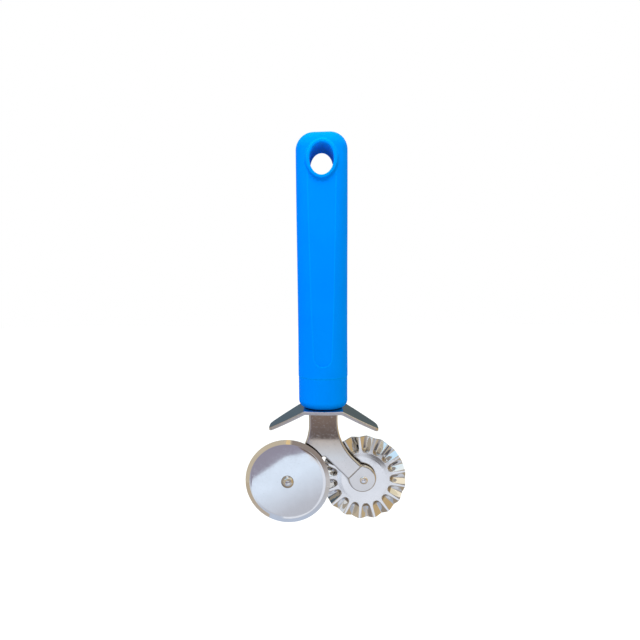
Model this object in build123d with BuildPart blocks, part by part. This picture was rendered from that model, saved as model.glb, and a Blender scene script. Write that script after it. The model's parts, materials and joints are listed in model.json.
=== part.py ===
"""Double pastry wheel: a plain and a fluted cutter on the fork of one moulded handle."""

import os
from math import atan2, degrees, pi, radians, sqrt, tan

from build123d import *

os.makedirs("parts", exist_ok=True)

# Driving dimensions in millimetres.
# X runs across the tool, -Y is its front and +Z runs up the handle.
# The origin is the centre of the hang hole.

# Handle: a bar that is nearly round at the seam and flattens towards its end
end_above_hole = 15.0
seam_below_hole = 108.5
end_width = 26.1
end_depth = 18.6
seam_width = 25.6
seam_depth = 24.0
flare_start_below_hole = 62.0
flare_end_below_hole = 14.0
section_flat = 0.4
end_round_relief = 0.5
seam_edge_round = 0.3

# Hang hole with a bead round each mouth
hole_width = 11.9
hole_height = 15.3
bead_width = 1.5
bead_height = 0.9
bead_rise = 3.0
bead_flare = 1.6
bead_round = 0.6

# Tongue: a flat sunk into the front and the back of the handle
tongue_depth = 0.7
tongue_top_below_hole = 4.0
tongue_top_width = 14.6
tongue_middle_below_hole = 52.0
tongue_middle_width = 12.6
tongue_end_width = 9.0
tongue_end_above_seam = 6.1

# Collar below the seam
collar_height = 16.3
collar_step = 0.15
collar_bottom_round = 3.8
spigot_wall = 4.0
spigot_length = 8.0
spigot_clearance = 0.1

# Finger guard: a plate with bowed sides and its wings bent down
guard_span = 57.3
guard_overhang = 0.6
guard_end_width = 9.6
guard_corner_round = 4.2
guard_thickness = 1.8
guard_flat_margin = 0.8
guard_wing_angle = 29.7
guard_bend_radius = 5.3
guard_edge_round = 0.6

# Wheel frame: tang, neck and fork in one plate
plate_thickness = 2.2
plate_edge_round = 1.0
tang_width = 10.0
tang_length = 62.0
tang_end_round = 3.0
slot_clearance = 0.1
neck_width = 15.1
neck_length = 17.8
fork_blend_radius = 28.0
fork_crotch_radius = 1.0
arm_width = 10.2
ear_radius = 7.4
ear_setback = 1.05
ear_blend_radius = 1.0
ear_step = 1.2
ear_step_lap = 3.0
step_edge_round = 0.9
axle_drop = 20.6
plain_axle_x = -19.15
fluted_axle_x = 21.2

# Rivets that the wheels turn on
rivet_head_radius = 3.25
rivet_head_base = 0.35
rivet_dome_height = 1.5
rivet_shoulder_radius = 2.0
rivet_tail_radius = 1.5
rivet_set_radius = 2.1
rivet_set_height = 0.8
tail_clearance = 0.02
running_clearance = 0.05
side_play = 0.1

# Washers between the arms and the wheels
washer_radius = 4.5
plain_washer_thickness = 0.6
fluted_washer_thickness = 0.5

# Plain wheel
plain_radius = 22.45
plain_thickness = 1.6
plain_edge_thickness = 0.2
plain_bevel_width = 2.2

# Fluted wheel
fluted_radius = 22.5
fluted_thickness = 0.8
dish_radius = 13.8
dish_width = 2.4
dish_drop = 0.16
flute_count = 17
flute_run = 2.2
flute_nose_width = 2.6
flute_root_width = 1.3
flute_root_depth = 1.8
flute_crest_width = 0.6
flute_depth = 2.4
flute_bend = 0.25
flute_phase = 10.6

# Heights that follow from the driving dimensions
end_z = end_above_hole
seam_z = -seam_below_hole
collar_bottom_z = seam_z - collar_height
shoulder_z = collar_bottom_z - guard_thickness
fork_z = shoulder_z - neck_length
axle_z = fork_z - axle_drop
tang_top_z = shoulder_z + tang_length

# Depths of the wheels, front to back, stacked from the faces of the frame
plate_half = plate_thickness / 2
plain_back_y = -plate_half - plain_washer_thickness - side_play
plain_front_y = plain_back_y - plain_thickness
fluted_front_y = ear_step + plate_half + fluted_washer_thickness + side_play
fluted_middle_y = fluted_front_y + fluted_thickness / 2
fluted_back_y = fluted_front_y + fluted_thickness


def grip_depth(height):
    """Front to back size of the grip at a height: it tapers evenly from the seam to the end."""
    return seam_depth + (height - seam_z) / (end_z - seam_z) * (end_depth - seam_depth)


def section_round(width, depth):
    """Edge radius of a section: all but fully round, with a narrow flat left on the thin sides."""
    return (min(width, depth) - section_flat) / 2


# Handle
grip_sections = [
    (seam_z, seam_width),
    (-flare_start_below_hole, seam_width),
    (-flare_end_below_hole, end_width),
    (end_z, end_width),
]
bead_face_y = grip_depth(0) / 2 + bead_height
bead_foot_y = bead_face_y - bead_rise
tongue_end_radius = tongue_end_width / 2
tongue_end_z = seam_z + tongue_end_above_seam + tongue_end_radius
spigot_width = seam_width - 2 * collar_step - 2 * spigot_wall
spigot_depth = seam_depth - 2 * collar_step - 2 * spigot_wall
slot_width = tang_width + 2 * slot_clearance
slot_depth = plate_thickness + 2 * slot_clearance

with BuildPart() as handle:
    for height, width in grip_sections:
        depth = grip_depth(height)
        with BuildSketch(Plane.XY.offset(height)):
            RectangleRounded(width, depth, section_round(width, depth))
    loft()
    end_round = section_round(end_width, end_depth) - end_round_relief
    fillet(handle.faces().sort_by(Axis.Z)[-1].edges(), radius=end_round)
    fillet(handle.faces().sort_by(Axis.Z)[0].edges(), radius=seam_edge_round)
    # The tongue lies parallel to the tapering front and back
    for side in (-1, 1):
        floor_low = Vector(0, side * (seam_depth / 2 - tongue_depth), seam_z)
        floor_high = Vector(0, side * (grip_depth(0) / 2 - tongue_depth), 0)
        floor_normal = Vector(side, 0, 0).cross(floor_high - floor_low) * -1
        floor = Plane(origin=floor_high, x_dir=(1, 0, 0), z_dir=floor_normal)
        up = 1 if floor.y_dir.Z > 0 else -1
        with BuildSketch(floor):
            with BuildLine():
                top_left = (-tongue_top_width / 2, -up * tongue_top_below_hole)
                top_right = (tongue_top_width / 2, -up * tongue_top_below_hole)
                middle_left = (-tongue_middle_width / 2, -up * tongue_middle_below_hole)
                middle_right = (tongue_middle_width / 2, -up * tongue_middle_below_hole)
                low_left = (-tongue_end_radius, up * tongue_end_z)
                low_right = (tongue_end_radius, up * tongue_end_z)
                tip = (0, up * (tongue_end_z - tongue_end_radius))
                Line(top_left, top_right)
                ThreePointArc(top_right, middle_right, low_right)
                ThreePointArc(low_right, tip, low_left)
                ThreePointArc(low_left, middle_left, top_left)
            make_face()
        extrude(amount=seam_depth, mode=Mode.SUBTRACT)
    # The bead flares from its face down to a foot below the front of the grip
    for side in (-1, 1):
        for face_y, ring_width in ((bead_foot_y, bead_width + bead_flare), (bead_face_y, bead_width)):
            with BuildSketch(Plane.XZ.offset(side * face_y)):
                Ellipse(hole_width / 2 + ring_width, hole_height / 2 + ring_width)
        loft()
    with BuildSketch(Plane.XZ):
        Ellipse(hole_width / 2, hole_height / 2)
    extrude(amount=bead_face_y, both=True, mode=Mode.SUBTRACT)
    bead_edges = [e for e in handle.edges() if abs(abs(e.center().Y) - bead_face_y) < bead_round / 10]
    bead_edges = [e for e in bead_edges if e.is_closed]
    fillet(bead_edges, radius=bead_round)
    # Mouth for the spigot of the collar, and the slot for the tang above it
    with BuildSketch(Plane.XY.offset(seam_z)):
        RectangleRounded(
            spigot_width + 2 * spigot_clearance,
            spigot_depth + 2 * spigot_clearance,
            section_round(spigot_width, spigot_depth),
        )
    extrude(amount=spigot_length + spigot_clearance, mode=Mode.SUBTRACT)
    with BuildSketch(Plane.XY.offset(seam_z)):
        Rectangle(slot_width, slot_depth)
    extrude(amount=tang_top_z + slot_clearance - seam_z, mode=Mode.SUBTRACT)

handle.part.label = "handle"
export_step(handle.part, "parts/handle.step")

# Collar
with BuildPart() as collar:
    collar_width = seam_width - 2 * collar_step
    collar_depth = seam_depth - 2 * collar_step
    with BuildSketch(Plane.XY.offset(collar_bottom_z)):
        RectangleRounded(collar_width, collar_depth, section_round(collar_width, collar_depth))
    extrude(amount=collar_height)
    fillet(collar.faces().sort_by(Axis.Z)[0].edges(), radius=collar_bottom_round)
    with BuildSketch(Plane.XY.offset(seam_z)):
        RectangleRounded(spigot_width, spigot_depth, section_round(spigot_width, spigot_depth))
    extrude(amount=spigot_length)
    with BuildSketch(Plane.XY.offset(collar_bottom_z)):
        Rectangle(slot_width, slot_depth)
    extrude(amount=collar_height + spigot_length, mode=Mode.SUBTRACT)

collar.part.label = "collar"
export_step(collar.part, "parts/collar.step")

# Finger guard: its wings are bent longer than the span, and the plan trims their ends
guard_depth = seam_depth + 2 * guard_overhang
guard_flat_width = neck_width + 2 * guard_flat_margin
guard_kink_x = guard_flat_width / 2 + guard_bend_radius * tan(radians(guard_wing_angle) / 2)
guard_wing_x = guard_span / 2 + guard_thickness
guard_wing_drop = (guard_wing_x - guard_kink_x) * tan(radians(guard_wing_angle))

with BuildPart() as finger_guard:
    with BuildSketch(Plane.XZ):
        with BuildLine():
            FilletPolyline(
                (-guard_wing_x, collar_bottom_z - guard_wing_drop),
                (-guard_kink_x, collar_bottom_z),
                (guard_kink_x, collar_bottom_z),
                (guard_wing_x, collar_bottom_z - guard_wing_drop),
                radius=guard_bend_radius,
            )
            offset(amount=guard_thickness, side=Side.RIGHT)
        make_face()
    extrude(amount=guard_depth, both=True)
    with BuildSketch(Plane.XY.offset(shoulder_z - 2 * guard_wing_drop)) as guard_plan:
        with BuildLine():
            for side in (-1, 1):
                ThreePointArc(
                    (-guard_span / 2, side * guard_end_width / 2),
                    (0, side * guard_depth / 2),
                    (guard_span / 2, side * guard_end_width / 2),
                )
                Line(
                    (side * guard_span / 2, -guard_end_width / 2),
                    (side * guard_span / 2, guard_end_width / 2),
                )
        make_face()
        fillet(guard_plan.vertices(), radius=guard_corner_round)
    extrude(amount=4 * guard_wing_drop, mode=Mode.INTERSECT)
    rim_faces = [face for face in finger_guard.faces() if abs(face.normal_at().Z) < 0.1]
    rim_lines = [edge for face in rim_faces for edge in face.edges() if edge.length > 1.2 * guard_thickness]
    fillet(rim_lines, radius=guard_edge_round)
    with BuildSketch(Plane.XY.offset(shoulder_z)):
        Rectangle(slot_width, slot_depth)
    extrude(amount=guard_thickness, mode=Mode.SUBTRACT)

finger_guard.part.label = "finger_guard"
export_step(finger_guard.part, "parts/finger_guard.step")

# Wheel frame: each ear is set back a little along its arm from the axle.
# The front plate ends at the step, on a chord of the ear behind it, which laps its back face.
plain_axle = Vector(plain_axle_x, axle_z)
fluted_axle = Vector(fluted_axle_x, axle_z)
fork_point = Vector(0, fork_z)
plain_ear = plain_axle - (plain_axle - fork_point).normalized() * ear_setback
step_direction = (fluted_axle - fork_point).normalized()
fluted_ear = fluted_axle - step_direction * ear_setback
step_point = fluted_ear - step_direction * sqrt(ear_radius**2 - (arm_width / 2) ** 2)
ear_root = step_point - step_direction * ear_step_lap
tail_hole_radius = rivet_tail_radius + tail_clearance


def arm_strip(start, end):
    """Straight strip of an arm between two points of the fork."""
    run = end - start
    with Locations((start + end) / 2):
        Rectangle(run.length, arm_width, rotation=degrees(atan2(run.Y, run.X)))


def rim_edges(piece, cut_point):
    """Edges of the front and back faces of a plate, without its top end and its straight end at a cut."""
    rim = []
    for edge in piece.edges():
        middle = edge.position_at(0.5)
        along_face = abs(edge.tangent_at(0.5).Y) < 0.5
        below_top = shoulder_z - middle.Z > plate_edge_round / 10
        from_cut = (Vector(middle.X, middle.Z) - cut_point).dot(step_direction)
        if along_face and below_top and abs(from_cut) > plate_edge_round / 10:
            rim.append(edge)
    return rim


with BuildPart() as stepped_ear:
    with BuildSketch(Plane.XZ.offset(-ear_step)) as ear_plate:
        arm_strip(ear_root, fluted_ear)
        with Locations(fluted_ear):
            Circle(ear_radius)
        ear_corners = ear_plate.vertices().sort_by_distance(fluted_ear)[:2]
        fillet(ear_corners, radius=ear_blend_radius)
    extrude(amount=plate_half, both=True)
    fillet(rim_edges(stepped_ear, ear_root), radius=plate_edge_round)

with BuildPart() as wheel_frame:
    with BuildSketch(Plane.XZ) as front_plate:
        with Locations((0, shoulder_z - (neck_length + arm_width / 4) / 2)):
            Rectangle(neck_width, neck_length + arm_width / 4)
        arm_strip(fork_point, plain_ear)
        arm_strip(fork_point, step_point)
        with Locations(plain_ear):
            Circle(ear_radius)
        ear_corners = front_plate.vertices().sort_by_distance(plain_ear)[:2]
        fillet(ear_corners, radius=ear_blend_radius)
        for neck_side in (-neck_width / 2, neck_width / 2):
            neck_corner = front_plate.vertices().sort_by_distance((neck_side, fork_z))[0]
            fillet(neck_corner, radius=fork_blend_radius)
        crotch = front_plate.vertices().sort_by_distance((0, fork_z - arm_width))[0]
        fillet(crotch, radius=fork_crotch_radius)
    extrude(amount=plate_half, both=True)
    fillet(rim_edges(wheel_frame, step_point), radius=plate_edge_round)
    step_edge = wheel_frame.edges().sort_by_distance((step_point.X, -plate_half, step_point.Y))[0]
    fillet(step_edge, radius=step_edge_round)
    with BuildSketch(Plane.XZ) as tang:
        with Locations((0, shoulder_z + tang_length / 2)):
            Rectangle(tang_width, tang_length)
        fillet(tang.vertices().group_by(Axis.Y)[-1], radius=tang_end_round)
    extrude(amount=plate_half, both=True)
    add(stepped_ear.part)
    with BuildSketch(Plane.XZ):
        with Locations(plain_axle, fluted_axle):
            Circle(tail_hole_radius)
    extrude(amount=plate_thickness + ear_step, both=True, mode=Mode.SUBTRACT)

wheel_frame.part.label = "wheel_frame"
export_step(wheel_frame.part, "parts/wheel_frame.step")


def make_rivet(axle_x, outward, arm_face_y, seat_y):
    """Shouldered rivet on the axis of a wheel; outward is the side of its domed head, -1 front or 1 back."""
    arm_near = outward * arm_face_y
    arm_far = arm_near - plate_thickness
    set_top = arm_far - rivet_set_height
    seat = outward * seat_y
    dome_foot = seat + rivet_head_base
    dome_top = dome_foot + rivet_dome_height
    with BuildPart() as rivet:
        with BuildSketch(Plane(origin=(axle_x, 0, axle_z), x_dir=(1, 0, 0), z_dir=(0, 0, outward))):
            with BuildLine():
                Polyline(
                    (rivet_set_radius, arm_far),
                    (rivet_tail_radius, arm_far),
                    (rivet_tail_radius, arm_near),
                    (rivet_shoulder_radius, arm_near),
                    (rivet_shoulder_radius, seat),
                    (rivet_head_radius, seat),
                    (rivet_head_radius, dome_foot),
                )
                TangentArc((0, dome_top), (rivet_head_radius, dome_foot), tangent=(1, 0))
                Line((0, dome_top), (0, set_top))
                TangentArc((0, set_top), (rivet_set_radius, arm_far), tangent=(1, 0))
            make_face()
        revolve(axis=Axis((axle_x, 0, axle_z), (0, 1, 0)))
    return rivet


plain_wheel_rivet = make_rivet(plain_axle_x, -1, -plate_half, plain_front_y - side_play)
plain_wheel_rivet.part.label = "plain_wheel_rivet"
export_step(plain_wheel_rivet.part, "parts/plain_wheel_rivet.step")

fluted_wheel_rivet = make_rivet(fluted_axle_x, 1, ear_step + plate_half, fluted_back_y + side_play)
fluted_wheel_rivet.part.label = "fluted_wheel_rivet"
export_step(fluted_wheel_rivet.part, "parts/fluted_wheel_rivet.step")


def make_washer(axle_x, arm_face_y, thickness):
    """Flat washer that lies on the face of an arm; a negative thickness lies in front of it."""
    with BuildPart() as washer:
        with BuildSketch(Plane.XZ.offset(-arm_face_y)):
            with Locations((axle_x, axle_z)):
                Circle(washer_radius)
                Circle(rivet_shoulder_radius + running_clearance, mode=Mode.SUBTRACT)
        extrude(amount=-thickness)
    return washer


plain_wheel_washer = make_washer(plain_axle_x, -plate_half, -plain_washer_thickness)
plain_wheel_washer.part.label = "plain_wheel_washer"
export_step(plain_wheel_washer.part, "parts/plain_wheel_washer.step")

fluted_wheel_washer = make_washer(fluted_axle_x, ear_step + plate_half, fluted_washer_thickness)
fluted_wheel_washer.part.label = "fluted_wheel_washer"
export_step(fluted_wheel_washer.part, "parts/fluted_wheel_washer.step")

# Plain wheel: a disc bevelled on both sides to its cutting edge
bore_radius = rivet_shoulder_radius + running_clearance
plain_middle_y = (plain_front_y + plain_back_y) / 2
plain_hub = Plane(origin=(plain_axle_x, plain_middle_y, axle_z), x_dir=(1, 0, 0), z_dir=(0, 0, 1))

with BuildPart() as plain_wheel:
    with BuildSketch(plain_hub):
        with BuildLine():
            Polyline(
                (bore_radius, -plain_thickness / 2),
                (plain_radius - plain_bevel_width, -plain_thickness / 2),
                (plain_radius, -plain_edge_thickness / 2),
                (plain_radius, plain_edge_thickness / 2),
                (plain_radius - plain_bevel_width, plain_thickness / 2),
                (bore_radius, plain_thickness / 2),
                close=True,
            )
        make_face()
    revolve(axis=Axis((plain_axle_x, 0, axle_z), (0, 1, 0)))

plain_wheel.part.label = "plain_wheel"
export_step(plain_wheel.part, "parts/plain_wheel.step")

# Fluted wheel: the rim of a disc is dished back a little, and flutes run outwards from there.
# One flute is lofted along a radius, with a tapering crest and half a trough on each side of it.
half_pitch = tan(pi / flute_count)
half_sheet = fluted_thickness / 2
bend_speeds = (flute_bend, flute_bend)
flute_root_radius = dish_radius + flute_run
flute_stations = (
    (dish_radius, flute_nose_width, 0),
    (flute_root_radius, flute_root_width, flute_root_depth),
    (fluted_radius + fluted_thickness, flute_crest_width, flute_depth),
)

with BuildPart() as flute:
    for radius, crest_width, depth in flute_stations:
        reach = radius * half_pitch
        half_crest = crest_width / 2
        with BuildSketch(Plane(origin=(radius, 0, 0), x_dir=(0, 1, 0), z_dir=(1, 0, 0))):
            with BuildLine():
                for face in (half_sheet, -half_sheet):
                    crest = face - dish_drop
                    trough = crest - depth
                    Line((-half_crest, crest), (half_crest, crest))
                    for side in (-1, 1):
                        Spline(
                            (side * half_crest, crest),
                            (side * reach, trough),
                            tangents=((side, 0), (side, 0)),
                            tangent_scalars=bend_speeds,
                        )
                low_face = -dish_drop - depth
                for edge in (-reach, reach):
                    Line((edge, low_face + half_sheet), (edge, low_face - half_sheet))
            make_face()
    loft(ruled=True)

fluted_centre = (fluted_axle_x, fluted_middle_y, axle_z)
fluted_hub = Plane(origin=fluted_centre, x_dir=(1, 0, 0), z_dir=(0, -1, 0))
fluted_section = Plane(origin=fluted_centre, x_dir=(1, 0, 0), z_dir=(0, 0, -1))

with BuildPart(fluted_hub) as fluted_wheel:
    with BuildSketch(fluted_section):
        with BuildLine():
            for face in (half_sheet, -half_sheet):
                dish_start = (dish_radius - dish_width, face)
                dish_end = (dish_radius, face - dish_drop)
                Line((0, face), dish_start)
                TangentArc(dish_start, dish_end, tangent=(1, 0))
                Line(dish_end, (flute_root_radius, face - dish_drop))
            Line((0, half_sheet), (0, -half_sheet))
            Line((flute_root_radius, half_sheet - dish_drop), (flute_root_radius, -half_sheet - dish_drop))
        make_face()
    revolve(axis=Axis(fluted_centre, (0, 1, 0)))
    with BuildSketch(fluted_hub):
        RegularPolygon(
            dish_radius,
            flute_count,
            major_radius=False,
            rotation=flute_phase + 180 / flute_count,
        )
    extrude(amount=fluted_thickness + dish_drop, both=True, mode=Mode.INTERSECT)
    with PolarLocations(0, flute_count, start_angle=flute_phase):
        add(flute.part)
    Cylinder(fluted_radius, 4 * (flute_depth + fluted_thickness), mode=Mode.INTERSECT)
    Hole(bore_radius)

fluted_wheel.part.label = "fluted_wheel"
export_step(fluted_wheel.part, "parts/fluted_wheel.step")
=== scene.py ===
"""Looks of the double pastry wheel: materials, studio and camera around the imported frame."""

import json
import math

import bpy
from mathutils import Euler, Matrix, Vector

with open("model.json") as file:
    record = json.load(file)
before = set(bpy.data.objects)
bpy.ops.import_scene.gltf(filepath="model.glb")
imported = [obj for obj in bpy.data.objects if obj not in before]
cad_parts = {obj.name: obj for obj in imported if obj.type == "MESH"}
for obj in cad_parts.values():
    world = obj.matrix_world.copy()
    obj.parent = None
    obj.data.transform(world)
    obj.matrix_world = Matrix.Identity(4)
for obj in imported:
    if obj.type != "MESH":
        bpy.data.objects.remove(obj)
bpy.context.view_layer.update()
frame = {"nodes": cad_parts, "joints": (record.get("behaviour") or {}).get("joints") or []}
nodes = frame["nodes"]
axles = {joint["name"]: tuple(joint["pos_m"]) for joint in frame["joints"]}
scene = bpy.context.scene
scene.view_settings.view_transform = "Standard"

# Directions in the frame
rightwards = (1.0, 0.0, 0.0)
backwards = (0.0, 1.0, 0.0)
upwards = (0.0, 0.0, 1.0)

# Camera, in metres and degrees; the photo is 640 pixels square and was cut out beside its optical axis
photo_focal_pixels = 474.2
photo_pixels = 640.0
photo_axis_pixels_left = 29.3
sensor_width_mm = 36.0
camera_place = Vector((-0.0001, -0.246, -0.0602))
camera_pitch = -4.45
camera_yaw = 3.84
camera_roll = -0.68
camera_nearest = 0.01

# Studio, in metres: a floor, and the walls of a room whose cards the steel mirrors
floor_height = -0.36
floor_half_size = 3.0
floor_grey = (0.60, 0.60, 0.60)
floor_roughness = 0.9
floor_glow = 0.45
room_top = 0.60
front_wall = -0.30
side_wall = 0.40
back_wall = 0.40
card_layer = 0.002

# Colours of the light in the room, and the strength of the soft light from below and above
cream_light = (1.15, 1.03, 0.80)
sky_light = (0.74, 1.02, 1.25)
window_light = (0.90, 0.94, 1.04)
ground_light = (0.27, 0.245, 0.23)
soft_light_left = (0.72, 0.82, 1.20)
soft_light_right = (1.08, 1.02, 0.62)
soft_strength = (0.36, 1.21)

# Noises, in features per metre and levels of detail
plastic_cloud = (60.0, 3.0)
plastic_sheen = (300.0, 2.0)
plastic_grain = (2500.0, 2.0)
steel_cloud = (120.0, 3.0)
steel_sheen = (700.0, 3.0)
steel_dust = (1500.0, 2.0)

# Plastic: its colours, the lighter blue of the highlight painted along its sharp edges, its polish, the
# depth in metres and strength of its grain, and the radius in metres of that painted edge highlight
plastic_blues = ((0.0, 0.245, 0.98), (0.0, 0.262, 1.0))
plastic_edge_highlight = (0.0, 0.33, 1.0)
plastic_roughness = (0.30, 0.42)
plastic_shine = 0.002
plastic_shine_tint = (0.0, 0.6, 1.0, 1.0)
plastic_bump = (0.00003, 0.25)
edge_highlight_radius = 0.0007

# Hang hole: painted light and shade inside it, a lighter blue at its front and a darker one at its back,
# half its depth, how far the shader looks, and the openness over which that painted shade fades out
hole_painted_shading = ((0.0, 0.38, 1.0), (0.0, 0.12, 0.52))
hole_half_depth = 0.010
hole_reach = 0.018
hole_openness = (0.43, 0.55)

# Steel: each look is a dark and a light colour and the range of its roughness
plate_look = ((0.63, 0.62, 0.61), (0.69, 0.68, 0.67), (0.03, 0.06))
wheel_look = ((0.74, 0.74, 0.74), (0.79, 0.79, 0.79), (0.04, 0.07))
rivet_look = ((0.64, 0.63, 0.62), (0.72, 0.71, 0.70), (0.03, 0.06))
# The set end is rivet steel painted lighter, a painted brightening of its highlight
set_end_brightened_look = ((0.78, 0.78, 0.80), (0.86, 0.86, 0.88), (0.12, 0.18))
steel_bump = (0.00001, 0.05)

# Crevices: how far in metres the shader looks, and the openness below which painted shade darkens them
guard_crevice = (0.0005, 0.60)
plate_crevice = (0.0015, 0.84)
wheel_crevice = (0.006, 0.67)
rivet_crevice = (0.001, 0.60)
crevice_fade = 0.12

# Dust specks of the steel, the colour of the painted shade in its crevices, and its satin rims, with a tint
# that paints a lilac reflection
dust_share = (0.61, 0.73)
dust_roughness = 0.22
crevice_shade_colour = (0.045, 0.042, 0.04)
rim_frontness = (0.4, 0.8)
rim_painted_reflection = (0.60, 0.60, 0.66)
rim_roughness = 0.55

# Rings of the fluted wheel, by radius and width: where its flutes begin, satin and with painted shade on
# their slopes, and where the painted crevice shade may fall
flute_start_ring = (0.0142, 0.005)
flute_start_roughness = 0.16
flute_shade_colour = (0.15, 0.115, 0.095)
flute_shade_strength = 0.70
level_frontness = (0.82, 0.97)
crevice_shade_ring = (0.0155, 0.018)

# Faint shoulder that polishing leaves inside the bevel of the plain wheel: its radii and how far it falls
shoulder_radii = (0.0189, 0.0204)
shoulder_fall = 0.00006


def add_node(tree, kind, **values):
    """New shader node with some of its input sockets set by name."""
    node = tree.nodes.new(kind)
    for name, value in values.items():
        node.inputs[name.replace("_", " ")].default_value = value
    return node


def new_material(name):
    """Empty node material with its shader, and the tree they are in."""
    material = bpy.data.materials.new(name)
    material.use_nodes = True
    tree = material.node_tree
    return material, tree, tree.nodes["Principled BSDF"]


def add_place(tree):
    """Place on the object, in metres."""
    return tree.nodes.new("ShaderNodeTexCoord").outputs["Object"]


def add_math(tree, operation, first, second=None):
    """Result of a calculation with the output of a node and, for some, a number or another output."""
    step = tree.nodes.new("ShaderNodeMath")
    step.operation = operation
    tree.links.new(first, step.inputs[0])
    if isinstance(second, float):
        step.inputs[1].default_value = second
    elif second:
        tree.links.new(second, step.inputs[1])
    return step.outputs["Value"]


def add_noise(tree, scale, detail):
    """Noise in object space, in features per metre."""
    noise = add_node(tree, "ShaderNodeTexNoise", Scale=scale, Detail=detail)
    tree.links.new(add_place(tree), noise.inputs["Vector"])
    return noise.outputs["Fac"]


def add_range(tree, source, low, high, source_low=0.3, source_high=0.7):
    """Maps a stretch of a source, by default the middle of a noise, onto a range of values."""
    remap = add_node(
        tree, "ShaderNodeMapRange", From_Min=source_low, From_Max=source_high, To_Min=low, To_Max=high
    )
    tree.links.new(source, remap.inputs["Value"])
    return remap.outputs["Result"]


def add_dot(tree, source, direction):
    """How far a vector reaches along a direction."""
    reach = tree.nodes.new("ShaderNodeVectorMath")
    reach.operation = "DOT_PRODUCT"
    reach.inputs[1].default_value = direction
    tree.links.new(source, reach.inputs[0])
    return reach.outputs["Value"]


def add_bump(tree, shader, source, distance, strength):
    """Bump from a height source, with its depth in metres, over a bump that the shader may already have."""
    bump = add_node(tree, "ShaderNodeBump", Distance=distance, Strength=strength)
    tree.links.new(source, bump.inputs["Height"])
    for earlier in shader.inputs["Normal"].links:
        tree.links.new(earlier.from_socket, bump.inputs["Normal"])
    tree.links.new(bump.outputs["Normal"], shader.inputs["Normal"])


def mix_colours(tree, source, first, second):
    """Colour between two, each a colour or the output of another mix, by a source."""
    mix = tree.nodes.new("ShaderNodeMix")
    mix.data_type = "RGBA"
    for socket, colour in (("A", first), ("B", second)):
        if isinstance(colour, tuple):
            mix.inputs[socket].default_value = (*colour, 1.0)
        else:
            tree.links.new(colour, mix.inputs[socket])
    tree.links.new(source, mix.inputs["Factor"])
    return mix.outputs["Result"]


def mix_values(tree, source, first, second):
    """Value between the output of a node and a fixed one, by a source."""
    mix = add_node(tree, "ShaderNodeMapRange", To_Max=second)
    tree.links.new(first, mix.inputs["To Min"])
    tree.links.new(source, mix.inputs["Value"])
    return mix.outputs["Result"]


def add_edge_mask(tree, radius):
    """One along sharp edges and nought elsewhere, from how far the bevelled normal leaves the true one."""
    sharp_match, smooth_match = 0.985, 0.998
    bevel = add_node(tree, "ShaderNodeBevel", Radius=radius)
    shape = tree.nodes.new("ShaderNodeNewGeometry")
    compare = tree.nodes.new("ShaderNodeVectorMath")
    compare.operation = "DOT_PRODUCT"
    tree.links.new(bevel.outputs["Normal"], compare.inputs[0])
    tree.links.new(shape.outputs["Normal"], compare.inputs[1])
    return add_range(tree, compare.outputs["Value"], 1.0, 0.0, sharp_match, smooth_match)


def add_openness(tree, distance):
    """Share of the sky above a surface that nothing within a distance covers."""
    return add_node(tree, "ShaderNodeAmbientOcclusion", Distance=distance).outputs["AO"]


def add_frontness(tree):
    """One where a surface faces straight to the front or the back, and nought where it faces sideways."""
    shape = tree.nodes.new("ShaderNodeTexCoord")
    return add_math(tree, "ABSOLUTE", add_dot(tree, shape.outputs["Normal"], backwards))


def add_reach(tree, centre):
    """Distance from a centre, in metres."""
    reach = tree.nodes.new("ShaderNodeVectorMath")
    reach.operation = "DISTANCE"
    reach.inputs[1].default_value = centre
    tree.links.new(add_place(tree), reach.inputs[0])
    return reach.outputs["Value"]


def add_ring_mask(tree, centre, radius, width):
    """One on a ring about a centre, fading to nought at half its width to either side."""
    off = add_math(tree, "SUBTRACT", add_reach(tree, centre), radius)
    return add_range(tree, add_math(tree, "ABSOLUTE", off), 1.0, 0.0, 0.3 * width, 0.5 * width)


def make_plastic(name, hollow_painted_shading=None):
    """Satin moulded plastic with a fine grain, and a highlight of lighter blue painted along its sharp
    edges.

    A hollow, on request, gets painted light and shade where it is closed in, from a lighter blue at the
    front to a darker one at the back.
    """
    material, tree, shader = new_material(name)
    cloud = add_range(tree, add_noise(tree, *plastic_cloud), 0.0, 1.0)
    body = mix_colours(tree, cloud, *plastic_blues)
    # Highlight painted along sharp edges
    body = mix_colours(tree, add_edge_mask(tree, edge_highlight_radius), body, plastic_edge_highlight)
    if hollow_painted_shading:
        # Painted light and shade where the hollow is closed in, lighter at its front and darker at its back
        depth = add_dot(tree, add_place(tree), backwards)
        inwards = add_range(tree, depth, 0.0, 1.0, -hole_half_depth, hole_half_depth)
        hollow = add_range(tree, add_openness(tree, hole_reach), 1.0, 0.0, *hole_openness)
        body = mix_colours(tree, hollow, body, mix_colours(tree, inwards, *hollow_painted_shading))
    tree.links.new(body, shader.inputs["Base Color"])
    shader.inputs["Specular IOR Level"].default_value = plastic_shine
    shader.inputs["Specular Tint"].default_value = plastic_shine_tint
    sheen = add_range(tree, add_noise(tree, *plastic_sheen), *plastic_roughness)
    tree.links.new(sheen, shader.inputs["Roughness"])
    add_bump(tree, shader, add_noise(tree, *plastic_grain), *plastic_bump)
    return material


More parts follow.
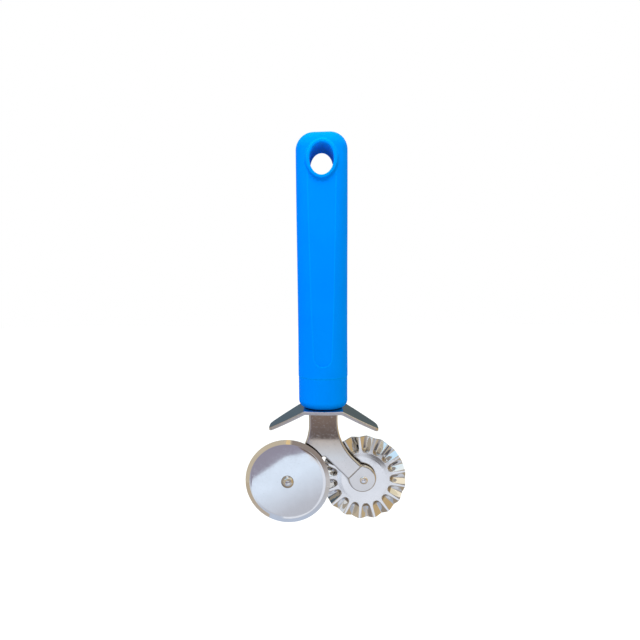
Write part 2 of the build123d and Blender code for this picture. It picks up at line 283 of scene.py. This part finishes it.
def make_steel(name, look, crevice, satin_rim=False, flute_centre=None, shoulder_centre=None):
    """Polished steel with a cloud of colour, dull specks of dust, and painted shade in its crevices.

    On request the front and back rims are satin, with a tint that paints a lilac reflection. Flutes round a
    centre are satin where they begin, with painted shade on their slopes, and get the painted crevice shade
    only on level parts within a ring.
    A shoulder round a centre falls off faintly.
    """
    dark, light, roughness = look
    material, tree, shader = new_material(name)
    shader.inputs["Metallic"].default_value = 1.0
    cloud = add_range(tree, add_noise(tree, *steel_cloud), 0.0, 1.0)
    body = mix_colours(tree, cloud, dark, light)
    polish = add_range(tree, add_noise(tree, *steel_sheen), *roughness)
    dust = add_range(tree, add_noise(tree, *steel_dust), 0.0, 1.0, *dust_share)
    polish = mix_values(tree, dust, polish, dust_roughness)
    if satin_rim:
        # Satin rims, with a tint that paints a lilac reflection
        rim = add_range(tree, add_frontness(tree), 0.0, 1.0, *rim_frontness)
        body = mix_colours(tree, rim, body, rim_painted_reflection)
        polish = mix_values(tree, rim, polish, rim_roughness)
    distance, gap = crevice
    # Painted shade in crevices and gaps, where nearby parts cover the sky
    crevice_shade = add_range(tree, add_openness(tree, distance), 1.0, 0.0, gap - crevice_fade, gap)
    if flute_centre:
        start = add_ring_mask(tree, flute_centre, *flute_start_ring)
        frontness = add_frontness(tree)
        # Painted shade on the sloping starts of the flutes
        sloping = add_range(tree, frontness, flute_shade_strength, 0.0, *level_frontness)
        body = mix_colours(tree, add_math(tree, "MULTIPLY", start, sloping), body, flute_shade_colour)
        polish = mix_values(tree, start, polish, flute_start_roughness)
        # The painted crevice shade stays on level parts within a ring
        level = add_range(tree, frontness, 0.0, 1.0, *level_frontness)
        level_ring = add_math(tree, "MULTIPLY", level, add_ring_mask(tree, flute_centre, *crevice_shade_ring))
        crevice_shade = add_math(tree, "MULTIPLY", crevice_shade, level_ring)
    # The painted crevice shade darkens the steel
    body = mix_colours(tree, crevice_shade, body, crevice_shade_colour)
    tree.links.new(body, shader.inputs["Base Color"])
    tree.links.new(polish, shader.inputs["Roughness"])
    if shoulder_centre:
        outwards = add_range(tree, add_reach(tree, shoulder_centre), 0.0, 1.0, *shoulder_radii)
        height = add_range(tree, add_math(tree, "MULTIPLY", outwards, outwards), 1.0, 0.0, 0.0, 1.0)
        add_bump(tree, shader, height, shoulder_fall, 1.0)
    add_bump(tree, shader, add_noise(tree, *steel_dust), *steel_bump)
    return material


grip_plastic = make_plastic("grip_plastic", hole_painted_shading)
collar_plastic = make_plastic("collar_plastic")
guard_steel = make_steel("guard_steel", plate_look, guard_crevice, satin_rim=True)
plate_steel = make_steel("plate_steel", plate_look, plate_crevice)
plain_steel = make_steel(
    "plain_wheel_steel", wheel_look, wheel_crevice, shoulder_centre=axles["plain_wheel_turn"]
)
fluted_steel = make_steel(
    "fluted_wheel_steel", wheel_look, wheel_crevice, flute_centre=axles["fluted_wheel_turn"]
)
rivet_steel = make_steel("rivet_steel", rivet_look, rivet_crevice)
set_steel = make_steel("set_steel", set_end_brightened_look, rivet_crevice)

node_materials = {
    "handle": grip_plastic,
    "collar": collar_plastic,
    "finger_guard": guard_steel,
    "wheel_frame": plate_steel,
    "plain_wheel": plain_steel,
    "fluted_wheel": fluted_steel,
    "plain_wheel_rivet": rivet_steel,
    "plain_wheel_washer": rivet_steel,
    "fluted_wheel_rivet": set_steel,
    "fluted_wheel_washer": rivet_steel,
}
for name, material in node_materials.items():
    mesh = nodes[name].data
    mesh.materials.clear()
    mesh.materials.append(material)


def add_sheet(name, corners, material):
    """Flat piece of the studio, from the corners of its outline."""
    mesh = bpy.data.meshes.new(name)
    mesh.from_pydata(corners, [], [range(len(corners))])
    mesh.materials.append(material)
    sheet = bpy.data.objects.new(name, mesh)
    scene.collection.objects.link(sheet)
    return sheet


def facing(outline, layer=0):
    """Corners of a card on the wall behind the camera, from its outline in x and z.

    Higher layers lie further from the object, behind lower ones.
    """
    return [(x, front_wall - layer * card_layer, z) for x, z in outline]


def sideways(outline, x):
    """Corners of a card on a side wall, from its outline in y and z."""
    return [(x, y, z) for y, z in outline]


def lying(outline, z):
    """Corners of a level card, from its outline in x and y."""
    return [(x, y, z) for x, y in outline]


def box(low, high):
    """Outline of a rectangle between two opposite corners."""
    return [low, (high[0], low[1]), high, (low[0], high[1])]


def add_card(name, corners, colour, far_colour=None, direction=None, stretch=None):
    """Reflector card: it shows in polished metal, and neither in the picture nor as light on the object.

    A far colour makes it shade off along a direction, over a stretch of metres from the origin.
    """
    material, tree, shader = new_material(name)
    tree.nodes.remove(shader)
    glow = add_node(tree, "ShaderNodeEmission", Color=(*colour, 1.0), Strength=1.0)
    tree.links.new(glow.outputs["Emission"], tree.nodes["Material Output"].inputs["Surface"])
    if far_colour:
        fade = add_range(tree, add_dot(tree, add_place(tree), direction), 0.0, 1.0, *stretch)
        tree.links.new(mix_colours(tree, fade, colour, far_colour), glow.inputs["Color"])
    card = add_sheet(name, corners, material)
    card.visible_camera = False
    card.visible_diffuse = False
    card.visible_shadow = False


# Pale floor; it is white to the camera and in the steel, and keeps the shadow of the object
floor_material, floor_tree, floor_shader = new_material("floor")
floor_shader.inputs["Base Color"].default_value = (*floor_grey, 1.0)
floor_shader.inputs["Roughness"].default_value = floor_roughness
floor_shader.inputs["Emission Color"].default_value = (1.0, 1.0, 1.0, 1.0)
floor_rays = floor_tree.nodes.new("ShaderNodeLightPath").outputs
floor_seen = add_math(floor_tree, "MAXIMUM", floor_rays["Is Camera Ray"], floor_rays["Is Glossy Ray"])
floor_lift = add_range(floor_tree, floor_seen, 0.0, floor_glow, 0.0, 1.0)
floor_tree.links.new(floor_lift, floor_shader.inputs["Emission Strength"])
floor_outline = box((-floor_half_size, -floor_half_size), (floor_half_size, floor_half_size))
add_sheet("floor", lying(floor_outline, floor_height), floor_material)

# Seams between the cards behind the camera, in x, and between the neck's two cards, in z
neck_left = -0.016
neck_right = 0.026
neck_seam = -0.243
window_far_seam = -0.12
window_seam = 0.006
front_seam = 0.15

# Cards behind the camera that flat faces mirror: dark, grey and lilac ones before a bright window
add_card(
    "neck_card",
    facing(box((neck_left, neck_seam), (neck_right, -0.19))),
    (0.16, 0.13, 0.125),
    far_colour=(0.28, 0.21, 0.18),
    direction=upwards,
    stretch=(neck_seam, -0.215),
)
add_card(
    "neck_foot_card",
    facing(box((neck_left, -0.268), (neck_right, neck_seam))),
    (0.90, 0.98, 1.10),
    far_colour=(0.68, 0.61, 0.57),
    direction=upwards,
    stretch=(-0.268, neck_seam),
)
add_card(
    "dish_card",
    facing(
        [
            (0.046, -0.262),
            (0.0615, -0.274),
            (0.075, -0.272),
            (0.12, -0.25),
            (0.17, -0.235),
            (0.17, -0.165),
            (0.046, -0.165),
        ]
    ),
    window_light,
    far_colour=(0.17, 0.16, 0.165),
    direction=rightwards,
    stretch=(0.046, 0.070),
)
add_card(
    "bevel_card",
    facing(
        [
            (neck_left, -0.075),
            (0.04, -0.095),
            (0.10, -0.145),
            (0.16, -0.21),
            (0.185, -0.30),
            (0.235, -0.30),
            (0.20, -0.18),
            (0.14, -0.10),
            (0.06, -0.045),
            (neck_left, -0.03),
        ],
        -1,
    ),
    (0.70, 0.68, 0.70),
    far_colour=(0.33, 0.275, 0.245),
    direction=upwards,
    stretch=(-0.30, -0.18),
)
add_card(
    "crescent_card",
    facing(
        [
            (neck_left, -0.256),
            (neck_left, -0.10),
            (window_far_seam, -0.16),
            (window_far_seam, -0.31),
            (-0.087, -0.292),
            (-0.063, -0.275),
            (-0.045, -0.262),
        ],
        -1,
    ),
    (0.36, 0.34, 0.43),
)
add_card(
    "window_card_left",
    facing(box((window_far_seam, floor_height), (window_seam, -0.10)), 1),
    (0.90, 1.02, 1.19),
    far_colour=(0.61, 0.63, 0.71),
    direction=(0.46, 0.0, -0.89),
    stretch=(0.238, 0.276),
)
add_card(
    "window_card_far_left",
    facing(box((-0.20, floor_height), (window_far_seam, -0.17)), 1),
    (0.90, 1.0, 1.12),
    far_colour=(0.40, 0.38, 0.46),
    direction=upwards,
    stretch=(-0.34, -0.27),
)
add_card(
    "window_card_right",
    facing(box((window_seam, floor_height), (0.19, -0.10)), 1),
    window_light,
)
add_card("glint_card", facing(box((-0.048, -0.075), (-0.024, -0.035))), (0.95, 0.70, 0.36))

# The rest of that wall: tan and grey, with sky at the left, a cream lamp at the right, a window above
add_card(
    "sky_card",
    facing(
        [
            (-0.29, -0.03),
            (-0.12, 0.06),
            (0.0, 0.10),
            (0.06, 0.10),
            (0.06, 0.25),
            (-0.02, 0.225),
            (-0.205, 0.15),
            (-0.36, 0.02),
        ],
        1,
    ),
    sky_light,
    far_colour=(1.05, 1.10, 1.10),
    direction=rightwards,
    stretch=(-0.05, 0.03),
)
add_card(
    "lamp_card",
    facing(
        [
            (0.06, 0.10),
            (0.20, 0.09),
            (0.33, 0.03),
            (side_wall, 0.03),
            (side_wall, 0.11),
            (0.22, 0.235),
            (0.06, 0.25),
        ],
        1,
    ),
    cream_light,
)
add_card("upper_card", facing(box((-0.20, 0.30), (0.12, room_top)), 1), (1.20, 1.32, 1.45))
add_card(
    "front_left_card",
    facing(box((-side_wall, floor_height), (front_seam, room_top)), 2),
    (0.67, 0.58, 0.44),
    far_colour=(0.31, 0.28, 0.26),
    direction=upwards,
    stretch=(-0.04, 0.20),
)
add_card(
    "front_right_card",
    facing(box((front_seam, floor_height), (side_wall, room_top)), 2),
    (0.66, 0.64, 0.65),
    far_colour=(0.40, 0.36, 0.33),
    direction=upwards,
    stretch=(-0.30, -0.18),
)

# Side walls, brown at the left with a small window and tan to cream at the right, and a dark back
add_card(
    "left_card",
    sideways(box((front_wall, floor_height), (back_wall, room_top)), -side_wall),
    (0.45, 0.39, 0.31),
)
add_card(
    "left_window_card",
    sideways(box((front_wall, -0.25), (-0.25, -0.12)), card_layer - side_wall),
    (0.80, 0.84, 0.90),
)
add_card(
    "right_card",
    sideways(box((front_wall, floor_height), (back_wall, room_top)), side_wall),
    (0.62, 0.45, 0.24),
    far_colour=(0.90, 0.80, 0.58),
    direction=upwards,
    stretch=(-0.10, 0.06),
)
add_card(
    "back_card",
    [(x, back_wall, z) for x, z in box((-side_wall, -0.20), (side_wall, 0.15))],
    (0.12, 0.165, 0.205),
    far_colour=(0.115, 0.145, 0.155),
    direction=rightwards,
    stretch=(-0.05, 0.05),
)

# Cards on the floor: blue grey in front, tan at the left, a warm strip below the object, grey behind
floor_card_height = floor_height + card_layer
floor_card_above = floor_card_height + card_layer
strip_front = -0.08
strip_back = 0.08
add_card(
    "floor_card_front",
    lying(box((-0.26, front_wall), (side_wall, strip_front)), floor_card_height),
    (0.58, 0.66, 0.82),
    far_colour=(0.60, 0.58, 0.58),
    direction=(1.0, -0.6, 0.0),
    stretch=(0.08, 0.32),
)
add_card(
    "floor_card_middle",
    lying(box((-0.05, front_wall), (0.13, -0.20)), floor_card_above),
    (0.92, 0.96, 1.05),
)
add_card(
    "floor_card_left",
    lying(
        [(-0.229, front_wall), (-0.079, strip_front), (-side_wall, strip_front), (-side_wall, front_wall)],
        floor_card_above,
    ),
    (0.58, 0.50, 0.42),
    far_colour=(0.60, 0.50, 0.37),
    direction=(-0.7, -0.7, 0.0),
    stretch=(0.18, 0.30),
)
add_card(
    "floor_card_back",
    lying(box((-side_wall, strip_front), (side_wall, strip_back)), floor_card_height),
    ground_light,
    far_colour=(0.60, 0.46, 0.27),
    direction=rightwards,
    stretch=(-0.2, 0.3),
)
add_card(
    "floor_card_far",
    lying(box((-side_wall, strip_back), (side_wall, back_wall)), floor_card_height),
    (0.52, 0.53, 0.56),
    far_colour=(0.84, 0.87, 0.92),
    direction=backwards,
    stretch=(0.10, back_wall),
)


def add_light(name, place, target, size, power):
    """Soft square light that neither the camera nor the steel sees."""
    data = bpy.data.lights.new(name, "AREA")
    data.size = size
    data.energy = power
    light = bpy.data.objects.new(name, data)
    light.location = place
    light.rotation_euler = (Vector(target) - Vector(place)).to_track_quat("-Z", "Y").to_euler()
    light.visible_camera = False
    light.visible_glossy = False
    scene.collection.objects.link(light)


# Soft key light from above in front, and a small one close to the handle's end
add_light("key_light", place=(-0.15, -0.40, 1.0), target=(0.0, 0.0, -0.08), size=0.8, power=6.0)
add_light("end_light", place=(-0.01, -0.07, 0.10), target=(0.0, 0.0, 0.0), size=0.08, power=0.085)

# World: plain white to the camera and the steel; as soft light it is cool at the left and stronger above
world = bpy.data.worlds.new("studio")
scene.world = world
world.use_nodes = True
world.cycles.sampling_method = "NONE"
world_tree = world.node_tree
backdrop = world_tree.nodes["Background"]
backdrop.inputs["Color"].default_value = (1.0, 1.0, 1.0, 1.0)
way = world_tree.nodes.new("ShaderNodeTexCoord").outputs["Generated"]
across = add_range(world_tree, add_dot(world_tree, way, rightwards), 0.0, 1.0, -1.0, 1.0)
soft = world_tree.nodes.new("ShaderNodeBackground")
soft_colour = mix_colours(world_tree, across, soft_light_left, soft_light_right)
world_tree.links.new(soft_colour, soft.inputs["Color"])
rise = add_range(world_tree, add_dot(world_tree, way, upwards), *soft_strength, -1.0, 1.0)
world_tree.links.new(rise, soft.inputs["Strength"])
rays = world_tree.nodes.new("ShaderNodeLightPath")
either = world_tree.nodes.new("ShaderNodeMixShader")
world_tree.links.new(rays.outputs["Is Diffuse Ray"], either.inputs["Fac"])
world_tree.links.new(backdrop.outputs["Background"], either.inputs[1])
world_tree.links.new(soft.outputs["Background"], either.inputs[2])
world_tree.links.new(either.outputs["Shader"], world_tree.nodes["World Output"].inputs["Surface"])

# Camera
camera_data = bpy.data.cameras.new("camera")
camera_data.sensor_width = sensor_width_mm
camera_data.lens = photo_focal_pixels / photo_pixels * sensor_width_mm
camera_data.shift_x = photo_axis_pixels_left / photo_pixels
camera_data.clip_start = camera_nearest
camera = bpy.data.objects.new("camera", camera_data)
camera.location = camera_place
turned = Euler((math.radians(90.0 + camera_pitch), 0.0, math.radians(camera_yaw))).to_matrix()
rolled = Euler((0.0, 0.0, math.radians(camera_roll))).to_matrix()
camera.rotation_euler = (turned @ rolled).to_euler()
scene.collection.objects.link(camera)
scene.camera = camera
